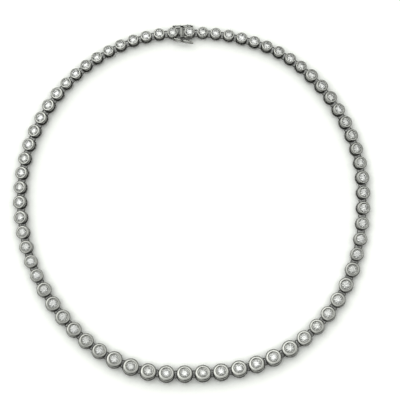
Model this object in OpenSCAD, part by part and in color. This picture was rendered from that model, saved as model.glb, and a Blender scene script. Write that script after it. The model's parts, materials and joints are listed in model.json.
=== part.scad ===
/* [Stones] */
// Diameter of every diamond
stone_d = 3.2; // [3.0:0.05:3.3]
// Width of the table as a share of the diameter
table_share = 0.56; // [0.52:0.01:0.62]
// Height of the crown as a share of the diameter
crown_share = 0.155; // [0.12:0.005:0.17]
// Depth of the pavilion as a share of the diameter
pavilion_share = 0.43; // [0.40:0.005:0.44]
// Thickness of the girdle
girdle_h = 0.06; // [0.04:0.01:0.10]

/* [Collets] */
// Collar diameter of the nine collets next to the clasp on each side
collar_1_d = 4.25; // [4.2:0.05:4.4]
// Collar diameter of the next eight
collar_2_d = 4.8; // [4.5:0.05:4.9]
// Collar diameter of the next six
collar_3_d = 5.05; // [4.85:0.05:5.25]
// Collar diameter of the next six
collar_4_d = 5.65; // [5.4:0.05:5.8]
// Collar diameter of the eleven at the front
collar_5_d = 6.2; // [6.0:0.05:6.4]
// Height of the smallest collet
collet_h = 2.7; // [2.65:0.05:2.8]
// How much higher a collet gets for each millimetre of diameter
collet_h_growth = 0.16; // [0.1:0.02:0.2]
// Thickness of the base ring
base_h = 0.45; // [0.4:0.05:0.5]
// Radial width of the base ring
base_w = 0.65; // [0.5:0.05:0.7]
// Height of the open gallery between base ring and collar
gallery_h = 1.0; // [0.95:0.05:1.05]
// Diameter of the posts across the gallery
post_d = 0.44; // [0.36:0.02:0.48]
// Running clearance between a stone and its collet
seat_gap = 0.13; // [0.12:0.01:0.14]

/* [Chain] */
// Gap between neighbouring small collars
collar_gap = 0.77; // [0.74:0.01:0.8]
// Wire diameter of the jump rings
ring_wire_d = 0.36; // [0.34:0.02:0.40]
// Mean radius of the jump rings
ring_r = 1.33; // [1.31:0.01:1.35]

/* [Clasp] */
// Distance between the two stones on the clasp
clasp_pitch = 6.5; // [6.4:0.1:6.7]
// Collar diameter on the clasp
clasp_collar_d = 4.1; // [4.0:0.05:4.2]
// Height of the clasp to the rim of its collars
clasp_h = 2.7; // [2.65:0.05:2.8]
// Width of the box and of the stop plate
box_w = 4.2; // [4.1:0.1:4.4]
// Height of the box
box_h = 1.9; // [1.8:0.05:2.0]
// Wall of the box below and beside its slot
box_wall = 0.2; // [0.18:0.01:0.25]
// Thickness of the stop plate
plate_t = 1.0; // [0.8:0.05:1.1]
// Height of the stop plate
plate_h = 2.3; // [2.1:0.05:2.5]
// Thickness of each leaf of the folded tongue
leaf_t = 0.18; // [0.15:0.01:0.20]
// Clearance between tongue and slot
slot_gap = 0.12; // [0.10:0.01:0.15]

/* [Safety catches] */
// Wire diameter of the figure-eight catches
catch_wire_d = 0.5; // [0.44:0.02:0.54]
// Distance from the hinge to the middle of the ball tip
catch_l = 7.1; // [7.0:0.05:7.2]
// Height between the two wires of a catch
catch_h = 1.8; // [1.7:0.05:1.9]
// Diameter of the ball tip
tip_d = 0.85; // [0.75:0.05:0.9]
// Clearance of the hinge bar in its tube, on the radius
hinge_gap = 0.05; // [0.03:0.01:0.08]
// How far the inner catch stands open as it lies
inner_open = 14; // [0:1:30]

/* [Hidden] */
$fn = 48;

// How the necklace lies. Each row is a bearing from the middle of the loop, the reach of the chain
// at that bearing, the outward lean of the collets there and how far the slack of the links lets
// them lie on from their even places along the chain. The rows are 15 degrees apart.
REACH = 1;
LEAN = 2;
SLACK = 3;
LAY = [
    [0, 64.4, 15, 0.2], [15, 65.5, 17, 0.13], [30, 66.25, 18, -0.1], [45, 67.15, 19, -0.2],
    [60, 67.5, 20, -0.15], [75, 66.9, 18, -0.05], [90, 66.7, 9, 0], [105, 67.15, 17, 0.25],
    [120, 67.05, 20, 0.6], [135, 66.65, 19, 0.83], [150, 65.95, 18, 0.83], [165, 65.3, 17, 0.8],
    [180, 64.4, 15, 0.68], [195, 63.9, 4, 0.47], [210, 63.65, -7, 0.37], [225, 63.95, -11, 0.22],
    [240, 64.5, -15, 0], [255, 64.35, -18, -0.28], [270, 63, -19, -0.36], [285, 63.65, -18, -0.5],
    [300, 64.8, -15, -0.6], [315, 65.25, -11, -0.32], [330, 65.2, -7, -0.12], [345, 64.6, 4, -0.08]
];
lay_step = 360 / len(LAY);
clasp_bearing = 93.5;

// Collets are counted from the clasp, round by the left-hand side. The first and the last are the
// ones on the clasp, and the middle one is the front of the necklace.
RUNS = [[9, collar_1_d], [8, collar_2_d], [6, collar_3_d], [6, collar_4_d], [6, collar_5_d]];
front = 35;
last = 2 * front;

// A collet's inside: the bore below the stone, the lip that holds it, and how far the posts stand
// from the middle of the jump ring that passes behind them
stone_r = stone_d / 2;
bore_r = stone_r - 0.25;
lip_r = stone_r - 0.07;
lip_h = 0.23;
girdle_depth = 0.3;
girdle_sink = 0.08;
crest_share = 0.4;
crest_w = 0.08;
base_inset = 0.05;
edge = 0.12;
post_out = 0.765;
pavilion_slope = 2 * pavilion_share;
crown_slope = crown_share / (0.5 - table_share / 2);

// The clasp's own frame has the tongue on the positive x side, the inside of the loop on the
// positive y side, and the bottom of the box at zero. Hinges and pegs come in pairs, one a side.
plate_x = -0.15;
box_x = [-4.0, -1.25];
slot_x = -3.7;
slot_w = box_w - 1.1;
slot_h = 0.7;
tongue_tip = slot_x + 0.3;
neck_w = 0.9;
neck_z = [0.1, 1];
hinge_x = 2.75;
hinge_y = box_w / 2 + 0.48;
hinge_d = 0.9;
hinge_h = 0.9;
arm_w = 0.4;
catch_z = 1.5;
peg_x = -2.6;
peg_y = box_w / 2 + 0.9;
peg_d = 0.42;
peg_ball_d = 0.76;

// Lay of the chain
function row(k, column) = LAY[(k + len(LAY)) % len(LAY)][column];
function smooth(a, b, c, d, t) = b + t * (c - a) / 2
    + t * t * (2 * a - 5 * b + 4 * c - d) / 2 + t * t * t * (3 * b - a - 3 * c + d) / 2;
function lay(bearing, column) =
    let (k = floor(bearing / lay_step), t = bearing / lay_step - k)
    smooth(row(k - 1, column), row(k, column), row(k + 1, column), row(k + 2, column), t);
function line_at(bearing) = lay(bearing % 360, REACH) * [cos(bearing), sin(bearing)];
arcs = [for (k = 0, s = 0; k <= 360;
    s = s + norm(line_at(clasp_bearing + k + 1) - line_at(clasp_bearing + k)), k = k + 1) [s, k]];
loop_l = arcs[360][0];
function bearing_at(s) = clasp_bearing + lookup(s, arcs);

// Graduation of the collets. A collet's link reaches from its middle to the middle of the jump ring
gap_less = 0.1;
function run_d(i, k = 0) = i <= RUNS[k][0] ? RUNS[k][1] : run_d(i - RUNS[k][0], k + 1);
function collar_d(i) = let (j = min(i, last - i)) j == 0 ? clasp_collar_d : run_d(j);
function is_clasp(i) = i == 0 || i == last;
function height(i) =
    is_clasp(i) ? clasp_h : collet_h + (collar_d(i) - collar_1_d) * collet_h_growth;
function link(d) = (d + collar_gap - gap_less * max(0, min(1, d - collar_2_d))) / 2;
function chain_to(i) = i == 0 ? 0 : chain_to(i - 1) + link(collar_d(i - 1)) + link(collar_d(i));
closing = (loop_l - clasp_pitch) / 2 / chain_to(front);
function station(i) =
    i <= front ? clasp_pitch / 2 + closing * chain_to(i) : loop_l - station(last - i);
function lie(i) = let (s = station(i)) is_clasp(i) ? s : s + lay(bearing_at(s) % 360, SLACK);

// Place of each collet: where its gallery's middle is, which way the chain runs and how it leans
ring_z = base_h + gallery_h / 2;
tongue_at = line_at(bearing_at(station(0)));
box_at = line_at(bearing_at(station(last)));
clasp_at = (tongue_at + box_at) / 2;
clasp_run = atan2(tongue_at[1] - box_at[1], tongue_at[0] - box_at[0]);
clasp_lean = lay(clasp_bearing, LEAN);
function lean(i) = is_clasp(i) ? clasp_lean : lay(bearing_at(lie(i)) % 360, LEAN);
function base_r(i) = is_clasp(i) ? box_w / 2 : collar_d(i) / 2 - base_inset;
function rise(i) = base_r(i) * sin(abs(lean(i))) + ring_z * cos(lean(i));
function spot(i) = let (p = i == 0 ? tongue_at : i == last ? box_at : line_at(bearing_at(lie(i))))
    [p[0], p[1], rise(i)];
function run(i) = is_clasp(i) ? clasp_run
    : let (a = spot(i - 1), b = spot(i + 1)) atan2(b[1] - a[1], b[0] - a[0]);

// The origin is below the middle of the whole necklace. A tilted rim reaches furthest on each side.
function drop(r) = 0.34 + (r - collar_1_d / 2) * 0.4;
function axis_of(i) = let (r = run(i), l = lean(i)) [sin(r) * sin(l), -cos(r) * sin(l), cos(l)];
function rim(i, side, k) = let (n = axis_of(i), r = collar_d(i) / 2, p = spot(i),
    top = p + (height(i) - drop(r) - ring_z) * n, low = p + (base_h - edge - ring_z) * n)
    max(side * top[k], side * low[k]) + r * sqrt(1 - n[k] * n[k]);
peg_reach = clasp_at[1] + peg_x * sin(clasp_run) + peg_ball_d / 2
    - (peg_y * cos(clasp_lean) + (catch_z - ring_z) * sin(clasp_lean)) * cos(clasp_run);
right = max([for (i = [1:last - 1]) rim(i, 1, 0)]);
left = -max([for (i = [1:last - 1]) rim(i, -1, 0)]);
back = max(peg_reach, max([for (i = [1:last - 1]) rim(i, 1, 1)]));
near = -max([for (i = [1:last - 1]) rim(i, -1, 1)]);
middle = [(left + right) / 2, (back + near) / 2, 0];

module at_collet(i) {
    translate(spot(i) - middle) rotate([lean(i), 0, run(i)]) translate([0, 0, -ring_z]) children();
}

module at_clasp() {
    translate([clasp_at[0], clasp_at[1], rise(0)] - middle)
        rotate([clasp_lean, 0, clasp_run]) translate([0, 0, -ring_z]) children();
}

// Collets
function shoulder(r, crest, h, drop) =
    [for (a = [0:15:90]) [crest + (r - crest) * cos(a), h - drop + drop * sin(a)]];
function dish(crest, h, low) =
    [for (t = [0:0.25:1]) [crest + (lip_r - crest) * t, low + (h - low) * (1 - t) * (1 - t)]];
function girdle_z(d, h) = h - girdle_depth - (d - collar_1_d) * girdle_sink;

module collar_profile(d, h) {
    r = d / 2;
    crest = stone_r + crest_share * (r - stone_r);
    gallery_top = base_h + gallery_h;
    girdle = girdle_z(d, h);
    seat = girdle - girdle_h / 2 - seat_gap * 1.32;
    wall_r = stone_r + seat_gap;
    polygon(concat(
        [[bore_r, gallery_top], [r - edge, gallery_top], [r, gallery_top + edge]],
        shoulder(r, crest, h, drop(r)),
        dish(crest - crest_w, h, girdle + lip_h),
        [[wall_r, girdle + 0.06], [wall_r, seat + seat_gap * pavilion_slope],
            [bore_r, seat - (stone_r - bore_r) * pavilion_slope]]));
}

module base_profile(r) {
    polygon([[r - base_w, 0], [r - edge, 0], [r, edge], [r, base_h - edge], [r - edge, base_h],
        [r - base_w, base_h]]);
}

module collet(d, h) {
    rotate_extrude() collar_profile(d, h);
    rotate_extrude() base_profile(d / 2 - base_inset);
    for (a = [0:90:270])
        rotate([0, 0, a]) translate([link(d) - post_out, 0, base_h / 2])
            cylinder(d = post_d, h = gallery_h + base_h / 2 + 0.1);
}

module collets(first, end) {
    color("gainsboro") for (i = [first:end]) at_collet(i) collet(collar_d(i), height(i));
}

module collets_left() collets(1, front);
module collets_right() collets(front + 1, last - 1);

// Brilliant-cut stones, with the girdle's middle at the origin
module brilliant() {
    table_r = stone_r * table_share;
    star_r = stone_r * 0.79;
    half_r = stone_r * 0.22;
    top = girdle_h / 2;
    table_z = top + stone_d * crown_share;
    culet_z = -top - stone_d * pavilion_share;
    star_z = table_z - crown_slope * (star_r * cos(22.5) - table_r);
    half_z = culet_z + pavilion_slope * half_r * cos(22.5);
    table_pts = [for (k = [0:7]) [table_r * cos(45 * k), table_r * sin(45 * k), table_z]];
    star_pts = [for (k = [0:7]) [star_r * cos(45 * k + 22.5), star_r * sin(45 * k + 22.5), star_z]];
    upper_pts = [for (k = [0:15]) [stone_r * cos(22.5 * k), stone_r * sin(22.5 * k), top]];
    lower_pts = [for (k = [0:15]) [stone_r * cos(22.5 * k), stone_r * sin(22.5 * k), -top]];
    half_pts = [for (k = [0:7]) [half_r * cos(45 * k + 22.5), half_r * sin(45 * k + 22.5), half_z]];
    star = 8;
    upper = 16;
    lower = 32;
    half = 48;
    culet = 56;
    faces = concat(
        [[7, 6, 5, 4, 3, 2, 1, 0]],
        [for (k = [0:7]) [k, (k + 1) % 8, star + k]],
        [for (k = [0:7]) [k, star + k, upper + 2 * k]],
        [for (k = [0:7]) [k, upper + 2 * k, star + (k + 7) % 8]],
        [for (k = [0:15]) [star + floor(k / 2), upper + (k + 1) % 16, upper + k]],
        [for (k = [0:15]) [upper + k, upper + (k + 1) % 16, lower + (k + 1) % 16]],
        [for (k = [0:15]) [upper + k, lower + (k + 1) % 16, lower + k]],
        [for (k = [0:15]) [half + floor(k / 2), lower + k, lower + (k + 1) % 16]],
        [for (k = [0:7]) [culet, lower + 2 * k, half + k]],
        [for (k = [0:7]) [culet, half + (k + 7) % 8, lower + 2 * k]]);
    polyhedron(concat(table_pts, star_pts, upper_pts, lower_pts, half_pts, [[0, 0, culet_z]]), faces);
}

// The stones are set at different turns, as a setter leaves them
module stone(i) {
    color("azure") at_collet(i)
        translate([0, 0, girdle_z(collar_d(i), height(i))]) rotate([0, 0, 137.5 * i]) brilliant();
}

module stones_left() for (i = [1:front]) stone(i);
module stones_right() for (i = [front + 1:last - 1]) stone(i);
module tongue_stone() stone(0);
module box_stone() stone(last);

// Jump rings: each passes behind the posts of two neighbouring collets
module jump_ring() {
    rotate_extrude() translate([ring_r, 0]) circle(d = ring_wire_d, $fn = 24);
}

module jump_rings(first, end) {
    color("silver") for (i = [first:end]) {
        a = spot(i);
        b = spot(i + 1);
        share = 0.5 + (link(collar_d(i)) - link(collar_d(i + 1))) / 2 / norm(b - a);
        level = norm([b[0] - a[0], b[1] - a[1]]);
        translate(a + share * (b - a) - middle)
            rotate([(lean(i) + lean(i + 1)) / 2, -atan2(b[2] - a[2], level),
                atan2(b[1] - a[1], b[0] - a[0])]) jump_ring();
    }
}

module jump_rings_left() jump_rings(0, front - 1);
module jump_rings_right() jump_rings(front, last - 1);

// Clasp
module block(x, y, z) {
    translate([x[0], y[0], z[0]]) cube([x[1] - x[0], y[1] - y[0], z[1] - z[0]]);
}

module hinge_tube(side) {
    difference() {
        union() {
            translate([hinge_x, side * hinge_y, catch_z])
                cylinder(d = hinge_d, h = hinge_h, center = true);
            mirror([0, side < 0 ? 1 : 0, 0])
                block([hinge_x - arm_w / 2, hinge_x + arm_w / 2],
                    [clasp_collar_d / 2 - 0.3, hinge_y - 0.34], [catch_z + 0.02, catch_z + 0.42]);
        }
        translate([hinge_x, side * hinge_y, catch_z])
            cylinder(d = catch_wire_d + 2 * hinge_gap, h = hinge_h + 0.3, center = true);
    }
}

module tongue() {
    leaf_low = box_wall + slot_gap;
    fold = slot_h - 2 * slot_gap;
    leaf_y = slot_w / 2 - slot_gap;
    block([plate_x - plate_t / 2, plate_x + plate_t / 2], [-box_w / 2, box_w / 2], [0, plate_h]);
    block([plate_x, clasp_pitch / 2 - 1.5], [-neck_w / 2, neck_w / 2], neck_z);
    block([tongue_tip, plate_x], [-leaf_y, leaf_y], [leaf_low, leaf_low + leaf_t]);
    block([tongue_tip, plate_x], [-leaf_y, leaf_y], [leaf_low + fold - leaf_t, leaf_low + fold]);
    block([tongue_tip, tongue_tip + leaf_t], [-leaf_y, leaf_y], [leaf_low, leaf_low + fold]);
}

module clasp_tongue() {
    color("gainsboro") at_clasp() {
        translate([clasp_pitch / 2, 0, 0]) collet(clasp_collar_d, clasp_h);
        tongue();
        hinge_tube(1);
        hinge_tube(-1);
    }
}

module peg(side) {
    root = box_w / 2 - 0.25;
    translate([peg_x, side * root, catch_z]) rotate([-90 * side, 0, 0])
        cylinder(d = peg_d, h = peg_y - root);
    translate([peg_x, side * peg_y, catch_z]) sphere(d = peg_ball_d);
}

module clasp_box() {
    color("gainsboro") at_clasp() difference() {
        union() {
            translate([-clasp_pitch / 2, 0, 0]) collet(clasp_collar_d, clasp_h);
            block(box_x, [-box_w / 2, box_w / 2], [0, box_h]);
            peg(1);
            peg(-1);
        }
        block([slot_x, box_x[1] + 0.25], [-slot_w / 2, slot_w / 2], [box_wall, box_wall + slot_h]);
        translate([-clasp_pitch / 2, 0, box_wall + slot_h / 2]) cylinder(r = bore_r, h = box_h - 0.5);
    }
}

// Safety catches, drawn with the hinge bar on the z axis and the tip on the negative x side
module arc_wire(radius, from, sweep) {
    rotate([90, 0, 0]) rotate([0, 0, from]) rotate_extrude(angle = sweep)
        translate([radius, 0]) circle(d = catch_wire_d, $fn = 24);
}

module rail(x, z) {
    translate([x[0], 0, z]) rotate([0, -90, 0]) cylinder(d = catch_wire_d, h = x[0] - x[1]);
}

module figure_eight() {
    half = catch_h / 2;
    corner = 0.35;
    waist_in = -2.15;
    waist_out = waist_in - 2 * half - 0.3;
    end = -catch_l + tip_d / 2 + half - 0.1;
    translate([0, 0, corner - half]) cylinder(d = catch_wire_d, h = catch_h - 2 * corner);
    translate([-corner, 0, half - corner]) arc_wire(corner, 0, 90);
    translate([-corner, 0, corner - half]) arc_wire(corner, -90, 90);
    rail([-corner, waist_in], half);
    rail([-corner, waist_in], -half);
    translate([waist_in, 0, 0]) arc_wire(half, 90, 180);
    translate([waist_out, 0, 0]) arc_wire(half, -90, 180);
    rail([waist_out, end], half);
    rail([waist_out, end], -half);
    translate([end, 0, 0]) arc_wire(half, 90, 180);
    translate([-catch_l, 0, 0]) sphere(d = tip_d);
}

module catch_outer() {
    color("silver") at_clasp() translate([hinge_x, -hinge_y, catch_z]) figure_eight();
}

module catch_inner() {
    color("silver") at_clasp() translate([hinge_x, hinge_y, catch_z])
        rotate([0, 0, -inner_open]) figure_eight();
}

collets_left();
collets_right();
stones_left();
stones_right();
jump_rings_left();
jump_rings_right();
clasp_tongue();
clasp_box();
tongue_stone();
box_stone();
catch_outer();
catch_inner();
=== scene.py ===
import json
import logging
import math
from collections.abc import Iterable
from dataclasses import dataclass
from enum import Enum
from functools import cache

import bmesh
import bpy
import numpy as np
from mathutils import Matrix, Vector


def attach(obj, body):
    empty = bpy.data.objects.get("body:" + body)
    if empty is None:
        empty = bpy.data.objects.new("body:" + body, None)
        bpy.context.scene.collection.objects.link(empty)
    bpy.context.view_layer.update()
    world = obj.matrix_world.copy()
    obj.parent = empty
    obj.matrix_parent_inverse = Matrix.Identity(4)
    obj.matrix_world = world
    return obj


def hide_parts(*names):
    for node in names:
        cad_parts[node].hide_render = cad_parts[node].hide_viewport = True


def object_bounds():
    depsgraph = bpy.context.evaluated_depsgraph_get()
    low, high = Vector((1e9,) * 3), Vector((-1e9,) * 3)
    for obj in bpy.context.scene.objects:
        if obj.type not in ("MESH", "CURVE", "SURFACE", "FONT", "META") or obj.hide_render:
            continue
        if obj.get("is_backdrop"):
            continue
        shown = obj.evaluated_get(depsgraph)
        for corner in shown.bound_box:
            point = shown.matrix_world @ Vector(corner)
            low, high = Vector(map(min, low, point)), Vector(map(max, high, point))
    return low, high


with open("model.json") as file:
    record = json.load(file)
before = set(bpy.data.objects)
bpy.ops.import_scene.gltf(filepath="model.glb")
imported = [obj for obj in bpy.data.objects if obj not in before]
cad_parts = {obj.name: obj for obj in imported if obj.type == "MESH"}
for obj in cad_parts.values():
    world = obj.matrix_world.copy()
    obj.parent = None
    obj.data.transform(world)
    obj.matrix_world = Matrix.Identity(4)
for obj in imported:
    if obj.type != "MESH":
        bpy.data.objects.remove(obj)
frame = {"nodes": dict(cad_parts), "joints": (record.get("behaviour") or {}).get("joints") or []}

log = logging.getLogger("necklace")

# A millimetre in metres
MM = 0.001
# How near corners are, in millimetres, when they are welded, lie on a cut and are one
WELD = 1e-4
ON_CUT = 1e-5
TOUCHING = 1e-6
# How many digits of a metre two points share when they are one
PLACE_DIGITS = 7

# The name of the mask of how dark the metal is painted: grime, and painted shade in recesses and
# between parts
GRIME_AND_SHADE = "grime"
TINT = "tint"

Colour = tuple[float, float, float]
Spot = tuple[float, float, float]
Pair = tuple[float, float]
Section = list[Pair]


class Body(Enum):
    """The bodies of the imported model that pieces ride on."""

    NECKLACE = "necklace"
    OUTER = "catch_outer"
    INNER = "catch_inner"


class Slot(Enum):
    """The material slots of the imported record."""

    CAST = "white_gold"
    WIRE = "white_gold_wire"
    STONE = "diamond"


# The angle, in degrees, over which an edge of each finish looks sharp
SHARP_OVER = {Slot.CAST: 38, Slot.WIRE: 60, Slot.STONE: 2}


class Side(Enum):
    """The two halves of the string, as the nodes name them."""

    LEFT = "left"
    RIGHT = "right"


class Work(Enum):
    """What is done to a part with a second one."""

    SOLDER = "UNION"
    CUT = "DIFFERENCE"


# Parts


@dataclass
class Part:
    """A closed mesh in millimetres, in the axes of the thing it belongs to."""

    points: np.ndarray
    faces: list[tuple[int, ...]]

    def moved(self, matrix: Matrix) -> "Part":
        """Gives a copy of the part moved by a matrix.

        Args:
            matrix: The move, in millimetres.

        Returns:
            The moved copy.
        """
        m = np.array(matrix)
        return Part(self.points @ m[:3, :3].T + m[:3, 3], self.faces)

    def shifted(self, x: float, y: float, z: float) -> "Part":
        """Gives a copy of the part shifted by x, y and z millimetres."""
        return Part(self.points + (x, y, z), self.faces)

    @staticmethod
    def gathered(parts: Iterable["Part"]) -> "Part":
        """Puts several parts side by side in one mesh.

        Args:
            parts: The parts, which don't touch.

        Returns:
            One part that holds them all.
        """
        points, faces, start = [], [], 0
        for part in parts:
            points.append(part.points)
            faces += [tuple(start + k for k in face) for face in part.faces]
            start += len(part.points)
        return Part(np.concatenate(points), faces)

    @staticmethod
    def from_bmesh(bm: bmesh.types.BMesh) -> "Part":
        """Reads a part from a bmesh and frees the bmesh.

        Args:
            bm: The bmesh, in millimetres.

        Returns:
            The part.
        """
        bm.verts.index_update()
        points = np.array([v.co[:] for v in bm.verts])
        faces = [tuple(v.index for v in f.verts) for f in bm.faces]
        bm.free()
        return Part(points, faces)

    def to_mesh(self, name: str, scale: float = 1.0) -> bpy.types.Mesh:
        """Makes a Blender mesh of the part.

        Args:
            name: The mesh's name.
            scale: What the points are multiplied by.

        Returns:
            The new mesh.
        """
        mesh = bpy.data.meshes.new(name)
        mesh.from_pydata((self.points * scale).tolist(), [], self.faces)
        mesh.validate()
        return mesh


def joined(first: Part, second: Part, work: Work) -> Part:
    """Solders two parts into one solid, or cuts one out of the other.

    Args:
        first: The part that is added to or cut.
        second: The part that is added or taken away.
        work: Whether it is added or taken away.

    Returns:
        The new solid.
    """
    made = []
    for part in (first, second):
        item = bpy.data.objects.new("blank", part.to_mesh("blank"))
        bpy.context.scene.collection.objects.link(item)
        made.append(item)
    joint = made[0].modifiers.new("joint", "BOOLEAN")
    joint.operation = work.value
    joint.solver = "EXACT"
    joint.object = made[1]
    graph = bpy.context.evaluated_depsgraph_get()
    bm = bmesh.new()
    bm.from_object(made[0], graph)
    bmesh.ops.remove_doubles(bm, verts=bm.verts, dist=WELD)
    for item in made:
        mesh = item.data
        bpy.data.objects.remove(item)
        bpy.data.meshes.remove(mesh)
    return Part.from_bmesh(bm)


def soldered(first: Part, *others: Part) -> Part:
    """Solders any number of parts to a first one.

    Args:
        first: The part that is added to.
        others: The parts that are soldered on, in order.

    Returns:
        The solid that holds them all.
    """
    for other in others:
        first = joined(first, other, Work.SOLDER)
    return first


def wrapped(rows: int, columns: int) -> list[tuple[int, int, int, int]]:
    """Lists the faces of a grid of points that closes on itself both ways.

    Args:
        rows: The number of rows.
        columns: The number of points in each row.

    Returns:
        The numbers of each face's four points.
    """
    def at(row: int, column: int) -> int:
        """Gives the number of the point in that row and column."""
        return row % rows * columns + column % columns

    return [(at(a, k), at(a + 1, k), at(a + 1, k + 1), at(a, k + 1))
            for a in range(rows) for k in range(columns)]


def turned(section: Section, sides: int) -> Part:
    """Turns a closed section about the Z axis, as on a lathe.

    Args:
        section: Radius and height of each corner of the section, in order.
        sides: The number of steps round the axis.

    Returns:
        The turned ring.
    """
    turn = 2 * math.pi / sides * np.arange(sides)
    ring = np.array(section)
    points = np.stack([np.outer(np.cos(turn), ring[:, 0]), np.outer(np.sin(turn), ring[:, 0]),
                       np.tile(ring[:, 1], (sides, 1))], axis=-1).reshape(-1, 3)
    return Part(points, wrapped(sides, len(section)))


def rounded(corners: list[Spot], steps: int = 3, most: float = 0.49) -> Section:
    """Rounds the corners of a closed section.

    Args:
        corners: Radius, height and rounding of each corner, in order.
        steps: The number of steps in each rounding.
        most: The largest share of a side that a rounding may take.

    Returns:
        The section with its roundings.
    """
    out: Section = []
    for k, (x, z, size) in enumerate(corners):
        here = Vector((x, z))
        back = Vector(corners[k - 1][:2]) - here
        ahead = Vector(corners[(k + 1) % len(corners)][:2]) - here
        reach = min(size, most * back.length, most * ahead.length)
        if reach < TOUCHING:
            out.append((x, z))
            continue
        a, b = here + back.normalized() * reach, here + ahead.normalized() * reach
        for s in range(steps + 1):
            t = s / steps
            p = a * (1 - t) ** 2 + here * 2 * t * (1 - t) + b * t * t
            out.append((p.x, p.y))
    return out


def plain_ring(inner: float, outer: float, z: Pair, round_in: float, round_out: float) -> Section:
    """Gives the section of a plain ring with rounded edges.

    Args:
        inner: Its inner radius.
        outer: Its outer radius.
        z: Where it begins and ends along its axis.
        round_in: The rounding of its inner edges.
        round_out: The rounding of its outer edges.

    Returns:
        The section.
    """
    low, high = z
    return rounded([(inner, low, round_in), (outer, low, round_out), (outer, high, round_out),
                    (inner, high, round_in)])


def bar(x: Pair, y: Pair, z: Pair, round_by: float) -> Part:
    """Makes a bar with filed-off edges.

    Args:
        x: Where it begins and ends along X.
        y: Where it begins and ends along Y.
        z: Where it begins and ends along Z.
        round_by: How far its edges are filed back.

    Returns:
        The bar.
    """
    bm = bmesh.new()
    bmesh.ops.create_cube(bm, size=1)
    low, high = Vector((x[0], y[0], z[0])), Vector((x[1], y[1], z[1]))
    for v in bm.verts:
        v.co = Vector((low[k] + (v.co[k] + 0.5) * (high[k] - low[k]) for k in range(3)))
    if round_by > 0:
        bmesh.ops.bevel(bm, geom=bm.edges[:], offset=round_by, segments=3, profile=0.5,
                        affect="EDGES")
    return Part.from_bmesh(bm)


def pinched(section: Section, sides: int) -> Part:
    """Turns a section that touches the axis, and closes it there.

    Args:
        section: Radius and height of each corner of the section, in order.
        sides: The number of steps round the axis.

    Returns:
        The turned solid.
    """
    part = turned(section, sides)
    bm = bmesh.new()
    verts = [bm.verts.new(p) for p in part.points]
    for face in part.faces:
        bm.faces.new([verts[k] for k in face])
    bmesh.ops.remove_doubles(bm, verts=bm.verts, dist=TOUCHING)
    bmesh.ops.dissolve_degenerate(bm, dist=TOUCHING, edges=bm.edges)
    return Part.from_bmesh(bm)


def rod(radius: float, length: float, sides: int, round_by: float = 0.04) -> Part:
    """Makes an upright rod that stands on the origin, with rounded ends."""
    ends = [(radius, 0, round_by), (radius, length, round_by), (0, length, 0), (0, 0, 0)]
    return pinched(rounded(ends), sides)


def ball(radius: float, steps: int = 12) -> Part:
    """Makes a ball about the origin."""
    section = [(radius * math.sin(math.pi * k / steps), -radius * math.cos(math.pi * k / steps))
               for k in range(steps + 1)]
    return pinched(section, 2 * steps)


def arc(centre: Pair, radius: float, first: float, sweep: float, steps: int) -> Section:
    """Gives points along an arc.

    Args:
        centre: Its middle.
        radius: Its radius.
        first: The angle that it starts at, in degrees.
        sweep: The angle that it covers, in degrees.
        steps: The number of steps.

    Returns:
        The points, both ends among them.
    """
    angles = [math.radians(first + sweep * k / steps) for k in range(steps + 1)]
    return [(centre[0] + radius * math.cos(a), centre[1] + radius * math.sin(a)) for a in angles]


def bent_wire(path: Section, radius: float, sides: int, swell: Iterable[float] = ()) -> Part:
    """Bends a round wire into a closed loop that lies in the XZ plane.

    Args:
        path: The loop's middle line as X and Z.
        radius: The wire's radius.
        sides: The number of sides round the wire.
        swell: How much thicker than its radius the wire is at each point.

    Returns:
        The loop.
    """
    line = np.array(path)
    ahead = np.roll(line, -1, axis=0) - np.roll(line, 1, axis=0)
    ahead /= np.linalg.norm(ahead, axis=1)[:, None]
    side = np.stack([-ahead[:, 1], ahead[:, 0]], axis=1)
    thick = radius * (1 + np.array(list(swell) or [0.0] * len(line)))
    turn = 2 * math.pi / sides * np.arange(sides)
    out = line[:, None] + side[:, None] * (np.cos(turn)[:, None] * thick[:, None, None])
    across = np.sin(turn) * thick[:, None]
    points = np.stack([out[..., 0], across, out[..., 1]], axis=-1).reshape(-1, 3)
    return Part(points, wrapped(len(line), sides))


def spin(axis: str, degrees: float) -> Matrix:
    """Gives a turn by that many degrees about the X, Y or Z axis."""
    return Matrix.Rotation(math.radians(degrees), 4, axis)


def eased(value: np.ndarray, low: float, high: float) -> np.ndarray:
    """Rises smoothly from 0 at low to 1 at high, or falls where low is above high."""
    t = np.clip((value - low) / (high - low), 0, 1)
    return t * t * (3 - 2 * t)


# Where things are in the frame


@dataclass(frozen=True)
class Place:
    """A spot with its own axes, in the frame's metres."""

    origin: Vector
    along: Vector
    up: Vector

    def matrix(self) -> Matrix:
        """Gives the move from the place's own millimetres to the frame's.

        Returns:
            The move, which keeps sizes.
        """
        x = (self.along - self.along.project(self.up)).normalized()
        z = self.up.normalized()
        y = z.cross(x)
        turn = Matrix((x, y, z)).transposed().to_4x4()
        return Matrix.Translation(self.origin / MM) @ turn


def node_points(node: str) -> np.ndarray:
    """Reads the points of a node's mesh.

    Args:
        node: The node's name.

    Returns:
        The points, in metres.
    """
    mesh = frame["nodes"][node].data
    flat = np.empty(len(mesh.vertices) * 3)
    mesh.vertices.foreach_get("co", flat)
    return flat.reshape(-1, 3)


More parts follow.
